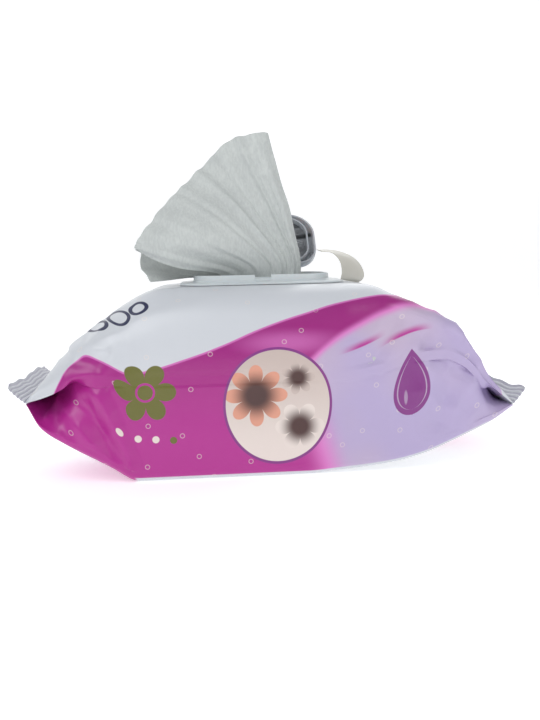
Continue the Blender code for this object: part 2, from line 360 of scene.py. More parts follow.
@dataclass(frozen=True)
class FilmPrint:
    """The printed film: a white top over a swept magenta field that pales to lilac.

    Places are in millimetres on the unrolled film: first along the pack, then up from its bottom edge.
    """

    white: tuple = tint(176, 179, 184)
    magenta: tuple = tint(152, 34, 122)
    deep_magenta: tuple = tint(132, 22, 104)
    pink: tuple = tint(186, 104, 168)
    lilac: tuple = tint(164, 149, 170)
    cool_lilac: tuple = tint(155, 143, 176)
    purple: tuple = tint(112, 44, 112)
    olive: tuple = tint(88, 88, 34)
    navy: tuple = tint(20, 25, 60)
    beige: tuple = tint(170, 156, 150)
    peach: tuple = tint(188, 132, 112)
    cream: tuple = tint(196, 186, 180)
    brown: tuple = tint(64, 40, 38)
    edge: tuple[Point, ...] = (
        (-140, 57),
        (-101, 58),
        (-88, 57.8),
        (-68, 59.8),
        (-44, 66.5),
        (-26, 73),
        (-3, 83),
        (17, 90),
        (38, 95.5),
        (57, 98),
        (68, 98),
        (80, 96),
        (95, 88),
        (106, 74),
        (120, 56),
        (140, 40),
    )
    band: tuple[Point, ...] = (
        (-140, 0),
        (-20, 0),
        (12, 52),
        (33, 71),
        (49, 80),
        (65, 86),
        (75, 87),
        (95, 77),
        (108, 66),
        (124, 46),
        (140, 38),
    )

    def blossom(self, g: Graph, u: Socket, v: Socket, place: Point, radius: float, petals: int) -> tuple:
        """Draw a round flower.

        Args:
            g: The material's nodes.
            u, v: Film coordinates.
            place: Centre of the flower.
            radius: Length of a petal.
            petals: Number of petals.

        Returns:
            The flower's share and the distance from its centre, where 1 is the petal's tip.
        """
        du, dv = g.math("SUBTRACT", u, place[0]), g.math("SUBTRACT", v, place[1])
        far = g.math("DIVIDE", g.math("SQRT", g.math("ADD", g.math("POWER", du, 2.0), g.math("POWER", dv, 2.0))), radius)
        turn = g.math("MULTIPLY", g.math("ARCTAN2", dv, du), petals / 2)
        lobe = g.math("POWER", g.math("ABSOLUTE", g.math("COSINE", turn)), 0.55)
        reach = g.math("MULTIPLY_ADD", lobe, 0.55, 0.45)
        gap = g.math("SUBTRACT", reach, far)
        return g.step(gap, 0.0, 0.5 / radius), far

    def ellipse(self, g: Graph, u: Socket, v: Socket, place: Point, size: Point) -> Socket:
        """Distance from an ellipse's centre, where 1 is its outline."""
        du = g.math("DIVIDE", g.math("SUBTRACT", u, place[0]), size[0])
        dv = g.math("DIVIDE", g.math("SUBTRACT", v, place[1]), size[1])
        return g.math("SQRT", g.math("ADD", g.math("POWER", du, 2.0), g.math("POWER", dv, 2.0)))

    def ring(self, g: Graph, far: Socket, radius: float, half: float, soft: float) -> Socket:
        """Share of a thin ring about a distance of 1."""
        off = g.math("MULTIPLY", g.math("ABSOLUTE", g.math("SUBTRACT", far, 1.0)), radius)
        return g.math("SUBTRACT", 1.0, g.step(off, half, half + soft))

    def drop(self, g: Graph, u: Socket, v: Socket, place: Point, size: Point) -> Socket:
        """Share of the half width at which a point of a water drop lies, where 1 is its outline."""
        rise = g.math("DIVIDE", g.math("SUBTRACT", v, place[1]), size[1])
        inside = g.math("MINIMUM", g.math("MAXIMUM", rise, 0.0001), 0.9999)
        swell = g.math("MULTIPLY", g.math("SUBTRACT", 1.0, inside), g.math("SQRT", inside))
        half = g.math("MULTIPLY", swell, 2.6 * size[0])
        out = g.math("DIVIDE", g.math("ABSOLUTE", g.math("SUBTRACT", u, place[0])), g.math("MAXIMUM", half, 0.02))
        outside = g.math("ABSOLUTE", g.math("SUBTRACT", rise, inside))
        return g.math("MULTIPLY_ADD", outside, 99.0, out)

    def fields(self, g: Graph, u: Socket, v: Socket) -> Socket:
        """The fields of colour: white top, magenta sweep, lilac right side and its two streaks."""
        below = g.math("SUBTRACT", g.curve(u, self.edge, (-140, 0), (140, 120)), v)
        lean = g.math("MULTIPLY_ADD", g.math("SUBTRACT", 60.0, v), -0.28, u)
        right = g.step(lean, -2.0, 34.0)
        under = g.math("SUBTRACT", g.curve(u, self.band, (-140, -20), (140, 120)), v)
        low = g.step(under, -6.0, 5.0)
        pale = g.math("MULTIPLY", right, low)
        pale = g.math("MAXIMUM", pale, g.step(u, 92.0, 124.0))
        warm = g.blend(g.step(v, 20.0, 80.0), self.magenta, self.deep_magenta)
        glow = g.step(self.ellipse(g, u, v, (10, 74), (34, 9)), 1.1, 0.1)
        warm = g.blend(g.math("MULTIPLY", glow, 0.55), warm, self.pink)
        cool = g.blend(g.step(g.noise(16.0), 0.35, 0.65), self.lilac, self.cool_lilac)
        halfway = g.blend(g.step(pale, 0.0, 0.55), warm, self.pink)
        colour = g.blend(g.step(pale, 0.35, 1.0), halfway, cool)
        for start, end, height, rise, bend in ((36, 64, 64.5, 0.22, 0.004), (58, 90, 65.0, 0.62, -0.0145)):
            along = g.math("SUBTRACT", u, start)
            middle = g.math("MULTIPLY_ADD", along, rise, height)
            middle = g.math("MULTIPLY_ADD", g.math("POWER", along, 2.0), bend, middle)
            off = g.math("SUBTRACT", v, middle)
            stroke = g.math("MULTIPLY", g.step(off, -0.9, 0.0), g.step(off, 4.5, 0.0))
            ends = g.math("MULTIPLY", g.step(u, start, start + 14.0), g.step(u, end, end - 12.0))
            colour = g.blend(g.math("MULTIPLY", stroke, ends), colour, self.magenta)
        hairline = g.step(below, 1.5, 0.7)
        colour = g.blend(g.math("MULTIPLY", hairline, 0.75), colour, self.pink)
        colour = g.blend(g.step(below, 0.3, -0.3), colour, self.white)
        strip = g.math("MULTIPLY", g.step(v, 2.6, 1.8), g.step(u, -74.0, -72.0))
        return g.blend(strip, colour, self.white)

    def badge(self, g: Graph, u: Socket, v: Socket, colour: Socket) -> Socket:
        """A round badge with three plain flowers on a beige ground."""
        far = self.ellipse(g, u, v, (4.0, 39.4), (28.6, 31.4))
        inside = g.blend(g.step(v, 10.0, 68.0), self.cream, self.beige)
        for place, radius, petals, tone in (
            ((15.0, 54.0), 9.5, 7, self.beige),
            ((-7.5, 45.0), 17.0, 8, self.peach),
            ((15.5, 27.5), 13.5, 6, self.cream),
        ):
            share, reach = self.blossom(g, u, v, place, radius, petals)
            petal = g.blend(g.step(reach, 0.25, 0.9), self.brown, tone)
            petal = g.blend(g.step(reach, 0.30, 0.24), petal, self.brown)
            inside = g.blend(share, inside, petal)
        colour = g.blend(g.step(far, 1.0, 0.985), colour, inside)
        return g.blend(self.ring(g, far, 30.0, 0.6, 0.25), colour, self.purple)

    def marks(self, g: Graph, u: Socket, v: Socket, colour: Socket) -> Socket:
        """The drop, the olive blossom, the dots below it and the outlined rounds on the slope."""
        outer = self.drop(g, u, v, (77.0, 25.2), (10.2, 36.6))
        inner = self.drop(g, u, v, (77.0, 28.2), (8.2, 29.8))
        colour = g.blend(g.step(outer, 1.02, 0.97), colour, self.purple)
        rim = g.math("MULTIPLY", g.step(inner, 1.04, 0.99), g.step(inner, 0.91, 0.95))
        colour = g.blend(g.math("MULTIPLY", rim, 0.75), colour, self.lilac)
        shine = g.step(self.ellipse(g, u, v, (73.6, 35.5), (1.2, 4.6)), 1.0, 0.6)
        colour = g.blend(g.math("MULTIPLY", shine, 0.55), colour, self.lilac)
        share, reach = self.blossom(g, u, v, (-66.0, 48.5), 16.5, 6)
        colour = g.blend(share, colour, self.olive)
        heart = self.ellipse(g, u, v, (-66.0, 48.5), (4.6, 4.6))
        colour = g.blend(self.ring(g, heart, 4.6, 0.45, 0.3), colour, self.magenta)
        for step in range(4):
            dot = self.ellipse(g, u, v, (-80.0 + 9.3 * step, 24.6 - 0.7 * step), (1.9, 1.9))
            colour = g.blend(g.step(dot, 1.1, 0.9), colour, self.olive if step == 3 else self.cream)
        for place, radius in (((-92.0, 83.0), 5.4), ((-80.5, 92.0), 6.2), ((-69.5, 99.5), 4.6)):
            far = self.ellipse(g, u, v, place, (radius, radius))
            colour = g.blend(self.ring(g, far, radius, 0.95, 0.3), colour, self.navy)
        return colour

    def bubbles(self, g: Graph, u: Socket, v: Socket, colour: Socket) -> Socket:
        """Small water bubbles scattered over the coloured film."""
        join = g.node("ShaderNodeCombineXYZ")
        g.feed(join.inputs[0], u)
        g.feed(join.inputs[1], v)
        cells = g.node("ShaderNodeTexVoronoi", feature="F1", voronoi_dimensions="2D")
        cells.inputs["Scale"].default_value = 0.052
        g.links.new(join.outputs[0], cells.inputs["Vector"])
        far = g.math("DIVIDE", cells.outputs["Distance"], 0.052 * 1.15)
        pick = g.node("ShaderNodeSeparateXYZ")
        g.links.new(cells.outputs["Color"], pick.inputs[0])
        chosen = g.step(pick.outputs[0], 0.35, 0.36)
        share = g.math("MULTIPLY", self.ring(g, far, 1.15, 0.12, 0.22), chosen)
        return g.blend(g.math("MULTIPLY", share, 0.45), colour, self.cream)

    def material(self) -> bpy.types.Material:
        """Build the film's material."""
        g = Graph("printed_film")
        raw_u, v = g.surface()
        back = g.math("GREATER_THAN", raw_u, 500.0)
        u = g.math("MULTIPLY_ADD", back, -1000.0, raw_u)
        plain = self.fields(g, u, v)
        front = self.bubbles(g, u, v, plain)
        front = self.marks(g, u, v, self.badge(g, u, v, front))
        colour = g.blend(back, front, plain)
        crinkle = g.math("ADD", g.noise(95.0, 3.0), g.math("MULTIPLY", g.noise(700.0, 1.0), 0.12))
        g.bump(crinkle, 0.0006, 0.35)
        rough = g.math("MULTIPLY_ADD", g.noise(40.0), 0.14, 0.26)
        return g.finish(colour, rough, coat_weight=0.12, coat_roughness=0.22)


@dataclass(frozen=True)
class CrimpedSeal:
    """The pressed end seals: the film's white side ribbed by the sealing jaw, drawn darker than the film as painted
    shade, with more painted shade in the rib troughs.
    """

    # painted shade: the seal's white is drawn greyer than the film's white
    colour: tuple = tint(158, 160, 166)
    shadow: tuple = tint(134, 132, 146)

    def material(self) -> bpy.types.Material:
        """Build the seal's material."""
        g = Graph("crimped_seal")
        across, _ = g.surface()
        rib = g.math("SINE", g.math("MULTIPLY", across, 2 * math.pi / EndSeal.rib_pitch * MM))
        # painted shade: the troughs between the ribs are drawn darker
        colour = g.blend(g.step(rib, 0.9, -0.9), self.colour, self.shadow)
        g.bump(g.noise(500.0, 3.0), 0.0003, 0.4)
        return g.finish(colour, 0.42)


@dataclass(frozen=True)
class Nonwoven:
    """Damp non-woven cloth: matted fibres with a faint greenish grey cast."""

    name: str
    colour: tuple = tint(170, 174, 172)
    thick: tuple = tint(158, 162, 161)
    fibre: float = 900.0

    def material(self) -> bpy.types.Material:
        """Build the cloth's material."""
        g = Graph(self.name)
        stretch = g.node("ShaderNodeMapping")
        stretch.inputs["Scale"].default_value = (1.0, 1.0, 0.35)
        g.links.new(g.place(), stretch.inputs["Vector"])
        fibres = g.noise(self.fibre, 4.0, stretch.outputs[0])
        clouds = g.noise(70.0, 3.0)
        share = g.math("MULTIPLY_ADD", fibres, 0.6, g.math("MULTIPLY", clouds, 0.4))
        colour = g.blend(g.step(share, 0.32, 0.68), self.thick, self.colour)
        cells = g.node("ShaderNodeTexVoronoi", feature="SMOOTH_F1")
        cells.inputs["Scale"].default_value = 420.0
        g.links.new(g.place(), cells.inputs["Vector"])
        height = g.math("MULTIPLY_ADD", cells.outputs["Distance"], 0.5, fibres)
        g.bump(height, 0.0005, 0.4)
        return g.finish(colour, 0.78, sheen_weight=0.15, sheen_roughness=0.5)


@dataclass(frozen=True)
class MouldedPlastic:
    """Glossy white polypropylene with a faint moulding grain."""

    name: str
    colour: tuple = tint(181, 186, 187)
    shade: tuple = tint(172, 177, 180)

    def material(self) -> bpy.types.Material:
        """Build the plastic's material."""
        g = Graph(self.name)
        colour = g.blend(g.noise(60.0, 2.0), self.colour, self.shade)
        g.bump(g.noise(1400.0, 2.0), 0.0001, 0.25)
        rough = g.math("MULTIPLY_ADD", g.noise(120.0), 0.10, 0.24)
        return g.finish(colour, rough, subsurface_weight=0.05, coat_weight=0.08)


@dataclass(frozen=True)
class LabelFilm:
    """Warm white label film with a faint darker mottle, and painted shade on its inner side."""

    colour: tuple = tint(178, 176, 168)
    # one darker colour for the mottle and for the painted shade on the inner side
    mottle_and_inner_shade: tuple = tint(150, 144, 130)

    def material(self) -> bpy.types.Material:
        """Build the label's material."""
        g = Graph("label_film")
        inside = g.node("ShaderNodeNewGeometry").outputs["Backfacing"]
        mottle = g.noise(55.0, 3.0)
        colour = g.blend(g.math("MULTIPLY", mottle, 0.35), self.colour, self.mottle_and_inner_shade)
        # painted shade: back faces, the inner side of the curl, are drawn darker
        colour = g.blend(g.math("MULTIPLY", inside, 0.5), colour, self.mottle_and_inner_shade)
        g.bump(g.noise(260.0, 3.0), 0.0003, 0.3)
        return g.finish(colour, 0.42)


# ---------------------------------------------------------------- film


@dataclass(frozen=True)
class Crease:
    """A straight fold pressed into the film, given on the front face in millimetres."""

    start: Point
    end: Point
    depth: float  # out of the pack, or into it when negative
    width: float

    def push(self, x: np.ndarray, z: np.ndarray) -> np.ndarray:
        """How far the fold moves each point, in metres."""
        a, b = np.array(self.start) * MM, np.array(self.end) * MM
        line = b - a
        length = np.linalg.norm(line)
        along = ((x - a[0]) * line[0] + (z - a[1]) * line[1]) / length**2
        off = np.abs((x - a[0]) * line[1] - (z - a[1]) * line[0]) / length
        tent = clamp(1.0 - off / (self.width * MM))
        ends = smooth(along / 0.25 + 0.35) * smooth((1.0 - along) / 0.25 + 0.35)
        return self.depth * MM * (0.75 * tent + 0.25 * smooth(tent)) * ends


@dataclass(frozen=True)
class Dent:
    """A shallow hollow or swelling of the film, given on the front face in millimetres."""

    place: Point
    size: Point
    depth: float
    turn: float = 0.0  # degrees

    def push(self, x: np.ndarray, z: np.ndarray) -> np.ndarray:
        """How far the dent moves each point, in metres."""
        c, s = math.cos(math.radians(self.turn)), math.sin(math.radians(self.turn))
        dx, dz = x - self.place[0] * MM, z - self.place[1] * MM
        across = (dx * c + dz * s) / (self.size[0] * MM)
        up = (dz * c - dx * s) / (self.size[1] * MM)
        return self.depth * MM * smooth(1.0 - np.sqrt(across**2 + up**2))


@dataclass
class FilmShape:
    """The section of the film at each place along the pack, and the folds pressed into it."""

    half: float
    shoulder_points: int = 58
    gusset_points: int = 12
    face_points: int = 46
    corner_points: int = 6
    floor_points: int = 8
    corner_radius: float = 0.006
    lip_half: float = 0.0004
    left_skew: float = 0.06  # the left seal stands further out at the back
    crown: Profile = Profile(
        (
            (-127.5, 45.9),
            (-120, 56.5),
            (-112, 66.5),
            (-96, 83),
            (-78, 96),
            (-69, 100.6),
            (-57, 104.2),
            (-45, 105),
            (45, 105),
            (60, 103.6),
            (70, 99.5),
            (80, 94.5),
            (94.7, 87.5),
            (104, 81),
            (111, 70),
            (117, 59),
            (125, 47),
            (133.5, 35.9),
        )
    )
    sag: Profile = Profile(((-140, 0), (62, 0), (82, 1), (95, 6), (104, 12), (111, 9), (118, 5), (133.5, 0)))
    ridge: Profile = Profile(
        (
            (-127.5, 45.3),
            (-118, 47.8),
            (-109, 51.7),
            (-102, 57.0),
            (-89, 58),
            (-60, 57),
            (40, 57),
            (60, 60),
            (80, 66),
            (95, 67),
            (105, 63),
            (112, 56.5),
            (117.5, 49.0),
            (125, 42.5),
            (133.5, 35.3),
        )
    )
    power: Profile = Profile(((-127.5, 4200), (-110, 2500), (-85, 2700), (-60, 3200), (40, 3200), (62, 4200), (80, 6500), (100, 7500), (133.5, 7000)))
    tuck: Profile = Profile(((-127.5, 38), (-118, 28), (-110, 17), (-102, 7), (-92, 0), (110, 0), (117.5, 2.5), (124, 14), (133.5, 34)))
    floor: Profile = Profile(
        (
            (-127.5, 44.2),
            (-121, 31.5),
            (-110, 22.6),
            (-85, 7.2),
            (-73, 0.25),
            (-70, 0),
            (20, 0),
            (37, 1.2),
            (53.6, 2.6),
            (70, 4.8),
            (87, 9.2),
            (95.5, 12.6),
            (104, 16.2),
            (120.7, 24.2),
            (133.5, 33.8),
        )
    )
    folds: tuple = (
        Crease((-91, 50), (-72.5, 2), 2.4, 7.0),
        Crease((-100, 46), (-77, 8), -2.2, 8.0),
        Crease((-113, 44), (-80, 6), 1.6, 7.0),
        Crease((-113, 45), (-120, 34), 1.2, 4.0),
        Crease((-100, 56), (-84, 52), -1.2, 5.0),
        Crease((-108, 72), (-97, 77), 1.3, 5.0),
        Crease((-97, 77), (-84, 71), 1.3, 6.0),
        Dent((-97, 67), (13, 8), -2.4, -10),
        Crease((-86, 72), (-91, 60), -1.0, 5.0),
        Crease((-70, 96), (-84, 84), -0.8, 6.0),
        Crease((-45, 104), (-66, 97), -0.9, 4.5),
        Crease((-34, 102), (-76, 93), -0.6, 5.0),
        Crease((74, 91), (52, 54), -1.5, 9.0),
        Crease((76, 90), (62, 60), 0.9, 7.0),
        Crease((66, 95), (94, 81), 1.0, 5.0),
        Crease((94, 81), (106, 73.5), 1.4, 5.0),
        Crease((94, 80), (112, 54), -1.2, 7.0),
        Dent((84, 74), (13, 7), -1.8, -25),
        Crease((82, 70), (98, 57), -2.2, 7.0),
        Crease((98, 57), (113, 53), -2.0, 6.0),
        Crease((98, 54), (92, 22), -1.4, 8.0),
        Crease((113, 51), (99, 32), 1.2, 7.0),
        Crease((88, 62), (79, 34), 0.8, 9.0),
        Crease((60, 46), (66, 20), -0.5, 8.0),
        Crease((118, 47), (128, 30), -0.9, 5.0),
        Dent((-20, 60), (60, 30), 0.8),
        Dent((30, 22), (50, 18), 0.6),
    )

    def half_section(self, x: float) -> tuple[np.ndarray, np.ndarray]:
        """Half of the film's section, from top centre to bottom centre.

        Args:
            x: Place along the pack.

        Returns:
            Points as (y, z), and the length of film from the bottom edge up to each of them.
        """
        crown, ridge, floor = (float(p.at(x)) for p in (self.crown, self.ridge, self.floor))
        tuck, sag = float(self.tuck.at(x)), float(self.sag.at(x))
        power = float(self.power.at(x))
        share = tuck / 0.038
        lift = floor > 0.0005
        radius = mix(self.corner_radius, 0.0008, clamp(np.array(share if lift else 0.0)))
        corner = min(floor + radius, ridge - 0.0006)
        valley = max(ridge - mix(0.006, self.lip_half, min(share * 3.0, 1.0)), corner + 0.0002)
        angle = np.linspace(0.0, math.pi / 2, 240)
        y = -self.half * np.sin(angle) ** (2 / power)
        z = ridge + (crown - ridge) * np.cos(angle) ** (2 / power)
        dome = ridge + (crown + 0.0025 - ridge) * np.cos(angle) ** (2 / power)
        z = np.minimum(dome, crown)
        z = z - sag * (1.0 - (y / self.half) ** 2) ** 1.5
        inner = -self.half + tuck
        turn = np.linspace(0.0, math.pi / 2, self.corner_points, endpoint=False)
        parts = [
            self.resample(np.stack([y, z], 1), self.shoulder_points),
            self.resample(np.array([(-self.half, ridge), (inner, valley)]), self.gusset_points),
            self.resample(np.array([(inner, valley), (-self.half, corner)]), self.face_points),
            np.stack([-self.half + radius * (1 - np.cos(turn)), corner - (corner - floor) * np.sin(turn)], 1),
            self.resample(np.array([(-self.half + radius, floor), (0.0, floor)]), self.floor_points),
            np.array([(0.0, floor)]),
        ]
        points = np.concatenate(parts)
        steps = np.linalg.norm(np.diff(points, axis=0), axis=1)
        length = np.concatenate([[0.0], np.cumsum(steps)])
        edge = self.shoulder_points + self.gusset_points + self.face_points
        return points, length[edge] - length + self.corner_radius

    @staticmethod
    def resample(line: np.ndarray, count: int) -> np.ndarray:
        """Spread points evenly along a line, leaving out its last one."""
        steps = np.linalg.norm(np.diff(line, axis=0), axis=1)
        length = np.concatenate([[0.0], np.cumsum(steps)])
        wanted = np.linspace(0.0, length[-1], count, endpoint=False)
        return np.stack([np.interp(wanted, length, line[:, 0]), np.interp(wanted, length, line[:, 1])], 1)

    def lean(self, points: np.ndarray) -> np.ndarray:
        """Lean the top to the front and skew the left end."""
        x, y, z = points[..., 0], points[..., 1], points[..., 2]
        share = smooth((z - 0.050) / 0.053)
        out = smooth((-x - 0.085) / 0.04)
        moved = points.copy()
        moved[..., 2] += math.tan(TOP_TILT) * y * share
        moved[..., 0] -= self.left_skew * (y + self.half) * out
        return moved

    def skin(self, xs: np.ndarray) -> tuple[np.ndarray, np.ndarray]:
        """The film's points and surface coordinates at each place along the pack."""
        rings, unrolled = [], []
        for x in xs:
            half, length = self.half_section(float(x))
            back = half[::-1][1:] * (-1.0, 1.0)
            ring = np.concatenate([half, back])
            rings.append(np.column_stack([np.full(len(ring), x), ring]))
            front_uv = np.column_stack([np.full(len(half), x), length])
            back_uv = np.column_stack([np.full(len(half) - 1, 1.0 - x), length[::-1][1:]])
            unrolled.append(np.concatenate([front_uv, back_uv]))
        return np.array(rings), np.array(unrolled)

    def crease(self, points: np.ndarray) -> np.ndarray:
        """Press the folds and a light crumple into the film."""
        along = np.gradient(points, axis=0)
        around = np.gradient(points, axis=1)
        normal = np.cross(around, along)
        normal /= np.maximum(np.linalg.norm(normal, axis=2, keepdims=True), 1e-12)
        columns = points.shape[1]
        half = self.shoulder_points + self.gusset_points + self.face_points
        hidden = np.zeros(columns, bool)
        hidden[self.shoulder_points : self.shoulder_points + self.gusset_points] = True
        hidden |= hidden[::-1]
        side = np.zeros(columns)
        side[:half] = 1.0
        side = np.maximum(side, side[::-1])
        side[hidden] = 0.0
        x, y, z = points[..., 0], points[..., 1], points[..., 2]
        facing = smooth((np.abs(y) - 0.022) / 0.012)
        push = sum(fold.push(x, z) for fold in self.folds) * facing
        flat = np.array([noise.noise(Vector(p)) for p in (points.reshape(-1, 3) * 38.0)])
        sharp = np.array([abs(noise.noise(Vector(p))) for p in (points.reshape(-1, 3) * 62.0 + 7.0)])
        ends = smooth((np.abs(x) - 0.050) / 0.05)
        crumple = flat.reshape(x.shape) * 0.0005 + (sharp.reshape(x.shape) - 0.2) * -0.0022 * ends
        under_frame = smooth((0.052 - np.abs(x)) / 0.004) * smooth((0.031 - np.abs(y)) / 0.003) * (z > 0.08)
        at_seal = smooth((0.1265 + 0.0055 * (x > 0) - np.abs(x)) / 0.008)
        push = (push + crumple) * side * (1.0 - under_frame) * at_seal
        moved = points + normal * push[..., None]
        moved[..., 2] = np.maximum(moved[..., 2], np.where(z < 0.004, z, 0.0002))
        return moved


@dataclass
class EndSeal:
    """One crimped end seal, flaring up from the seal line to its toothed cut edge."""

    side: int
    root: Vector
    half: float
    tip_x: float
    rise: float
    skew: float
    rib_pitch: float = 0.0017
    rib_height: float = 0.00022
    tooth: float = 0.0005
    tooth_pitch: float = 0.0022
    thickness: float = 0.0006
    rows: int = 46
    columns: int = 130

    def build(self) -> bpy.types.Object:
        """Make the seal as a thin ribbed strip."""
        t = np.linspace(0.0, 1.0, self.rows)[:, None]
        y = np.linspace(-self.half, self.half, self.columns)[None, :]
        reach = self.tip_x - abs(self.root.x)
        near = smooth((y + self.half) / 0.012)
        out = t * reach * (0.86 + 0.14 * near)
        saw = np.abs(((y / self.tooth_pitch) % 1.0) - 0.5) * 2.0
        out = out - self.tooth * saw * smooth((t - 0.9) / 0.1)
        wave = 0.0007 * np.sin(y * 95.0 + self.side) + 0.0005 * np.sin(y * 230.0)
        z = self.root.z + self.rise * (0.25 * t + 0.75 * t**1.3) + wave * t
        ribbed = smooth((t - 0.08) / 0.06) * smooth((0.86 - t) / 0.06)
        z = z + self.rib_height * np.sin(out * 2 * math.pi / self.rib_pitch) * ribbed
        x = self.side * (abs(self.root.x) - 0.0006 + out) - self.skew * (y + self.half)
        points = np.stack(np.broadcast_arrays(x, y, z), -1)
        uv = np.stack(np.broadcast_arrays(out, y), -1)
        obj = grid_object(f"{'left' if self.side < 0 else 'right'}_end_seal", points, uv)
        solid = obj.modifiers.new("layers", "SOLIDIFY")
        solid.thickness = self.thickness
        solid.offset = 0.0
        settle(obj)
        edit(obj, lambda bm: bmesh.ops.recalc_face_normals(bm, faces=bm.faces))
        return obj


@dataclass
class FilmWrapper:
    """The flow-wrapped film with its two crimped end seals."""

    shape: FilmShape
    rows: int = 286
    left_x: float = -0.1275
    right_x: float = 0.1335
    slot_length: float = 0.058
    slot_width: float = 0.022
    print_finish: FilmPrint = field(default_factory=FilmPrint)
    seal_finish: CrimpedSeal = field(default_factory=CrimpedSeal)

    def build(self) -> bpy.types.Object:
        """Make the film, cut its slot and put its finish on."""
        xs = np.linspace(self.left_x, self.right_x, self.rows)
        points, uv = self.shape.skin(xs)
        points = self.shape.lean(self.shape.crease(points))
        film = grid_object("film_wrapper", points, uv)
        edit(film, self.close)
        shade(film, 60.0)
        dress(film, self.print_finish.material(), Body.PACK)
        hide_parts("film_wrapper")
        report(film)
        return film

    def close(self, bm: bmesh.types.BMesh) -> None:
        """Join the film's long edges, cut the slot and close the ends."""
        bmesh.ops.remove_doubles(bm, verts=bm.verts, dist=1e-6)
        a, b = self.slot_length / 2, self.slot_width / 2
        gone = []
        for face in bm.faces:
            centre = face.calc_center_median()
            if centre.z > 0.08 and (centre.x / a) ** 4 + (centre.y / b) ** 4 < 1.0:
                gone.append(face)
        bmesh.ops.delete(bm, geom=gone, context="FACES")
        ends = [e for e in bm.edges if e.is_boundary and abs(e.verts[0].co.x) > 0.1]
        bmesh.ops.holes_fill(bm, edges=ends)
        bmesh.ops.recalc_face_normals(bm, faces=bm.faces)

    def build_seals(self) -> list[bpy.types.Object]:
        """Make both end seals."""
        low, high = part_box("film_wrapper")
        made = []
        for side, x, skew, tip in ((-1, self.left_x, self.shape.left_skew, -low.x), (1, self.right_x, 0.0, high.x + 0.004)):
            root = Vector((x, 0.0, float(self.shape.ridge.at(x)) - 0.0002))
            seal = EndSeal(side, root, self.shape.half, tip, 0.0085, skew).build()
            shade(seal, 50.0)
            dress(seal, self.seal_finish.material(), Body.PACK)
            report(seal)
            made.append(seal)
        return made


@dataclass
class WipeStack:
    """The folded wipes inside, pressed to the film's shape, with the edges of their layers on the sides."""

    shape: FilmShape
    inset: float = 0.0013
    layers: int = 44
    rows: int = 60
    finish: Nonwoven = Nonwoven("folded_nonwoven", tint(176, 180, 178), tint(150, 154, 152), 700.0)

    def build(self) -> bpy.types.Object:
        """Make the stack."""
        low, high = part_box("wipe_stack")
        xs = np.linspace(low.x, high.x, self.rows)
        points, uv = self.shape.skin(xs)
        y, z = points[..., 1], points[..., 2]
        y -= np.sign(y) * self.inset * clamp(np.abs(y) / 0.01)
        top = 0.1016
        z = np.minimum(z, top)
        z = np.where(z < 0.03, z + self.inset, z - self.inset * smooth((z - 0.06) / 0.02))
        ripple = 0.0003 * np.sin(z * 2 * math.pi * self.layers / 0.1) * smooth((np.abs(y) - 0.04) / 0.01)
        points[..., 1] = y - np.sign(y) * np.abs(ripple)
        points[..., 2] = z
        stack = grid_object("wipe_stack", self.shape.lean(points), uv)
        edit(stack, self.close)
        shade(stack, 50.0)
        dress(stack, self.finish.material(), Body.PACK)
        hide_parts("wipe_stack")
        report(stack)
        return stack

    @staticmethod
    def close(bm: bmesh.types.BMesh) -> None:
        """Join the seam and close both ends."""
        bmesh.ops.remove_doubles(bm, verts=bm.verts, dist=1e-6)
        bmesh.ops.holes_fill(bm, edges=[e for e in bm.edges if e.is_boundary])
        bmesh.ops.recalc_face_normals(bm, faces=bm.faces)


# ---------------------------------------------------------------- pulled wipe


